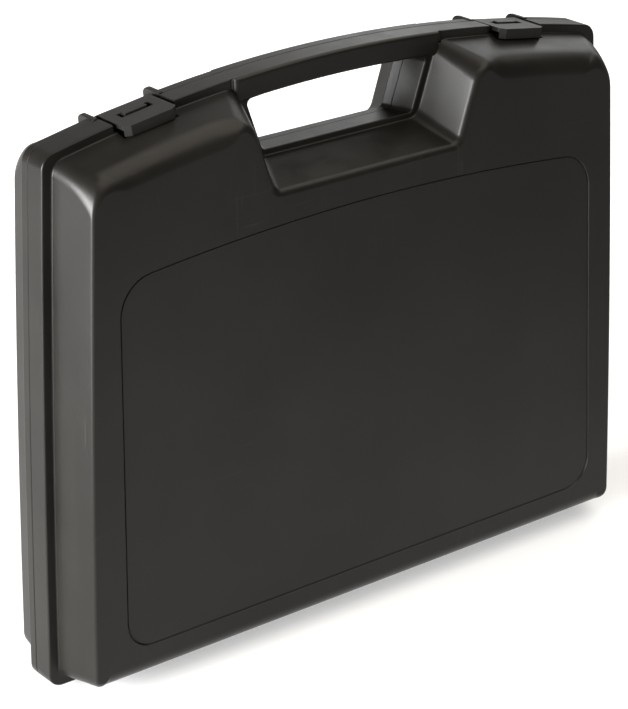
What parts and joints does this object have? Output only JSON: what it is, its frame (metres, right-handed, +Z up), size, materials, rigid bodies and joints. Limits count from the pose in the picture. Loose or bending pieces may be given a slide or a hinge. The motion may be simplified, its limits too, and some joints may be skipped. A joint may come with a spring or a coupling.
{
  "type": "toolbox with tray",
  "caption": "Slim black moulded tool case that stands upright, with arched carrying handle, hand-hole, snap latches, a hinged lid shell and a removable tray.",
  "frame": {"origin": "on the floor, under the middle of the closed case's width and depth", "axes": "+X to the right seen from the front, +Y from the front panel towards the lid, +Z up to the carrying handle"},
  "size_m": [0.3992, 0.0694, 0.3262],
  "materials": {
    "shell_plastic": "semi-matte moulded polypropylene, fine grain",
    "latch_plastic": "semi-matte moulded plastic",
    "pin_steel": "drawn steel wire",
    "tray_plastic": "semi-matte moulded plastic",
    "divider_plastic": "semi-matte moulded plastic",
    "foam": "open-cell foam, convoluted",
    "foot_rubber": "moulded rubber"
  },
  "bodies": {
    "front_case": {"front_shell": "shell_plastic", "hinge_pin_left": "pin_steel", "hinge_pin_middle": "pin_steel", "hinge_pin_right": "pin_steel", "foot_front_left": "foot_rubber", "foot_front_right": "foot_rubber"},
    "lid": {"back_shell": "shell_plastic", "latch_pin_left": "pin_steel", "latch_pin_right": "pin_steel", "foot_back_left": "foot_rubber", "foot_back_right": "foot_rubber", "lid_foam_pad": "foam"},
    "latch_left": {"latch_left": "latch_plastic"},
    "latch_right": {"latch_right": "latch_plastic"},
    "tray": {"tray": "tray_plastic", "tray_divider_middle_1": "divider_plastic", "tray_divider_middle_2": "divider_plastic", "tray_divider_middle_3": "divider_plastic", "tray_divider_middle_4": "divider_plastic", "tray_divider_upper_1": "divider_plastic", "tray_divider_upper_2": "divider_plastic"}
  },
  "joints": [
    {"name": "lid_open", "type": "hinge", "parent": "front_case", "child": "lid", "pos_m": [0, 0.00745, 0.0036], "axis": [-1, 0, 0], "range_deg": [0, 125]},
    {"name": "latch_left_open", "type": "hinge", "parent": "lid", "child": "latch_left", "pos_m": [-0.1256, 0.01675, 0.31066], "axis": [-0.9887, 0, -0.1501], "range_deg": [0, 100]},
    {"name": "latch_right_open", "type": "hinge", "parent": "lid", "child": "latch_right", "pos_m": [0.1256, 0.01675, 0.31066], "axis": [-0.9887, 0, 0.1501], "range_deg": [0, 100]},
    {"name": "tray_lift", "type": "slide", "parent": "front_case", "child": "tray", "axis": [0, 1, 0], "range_m": [0, 0.012]}
  ]
}
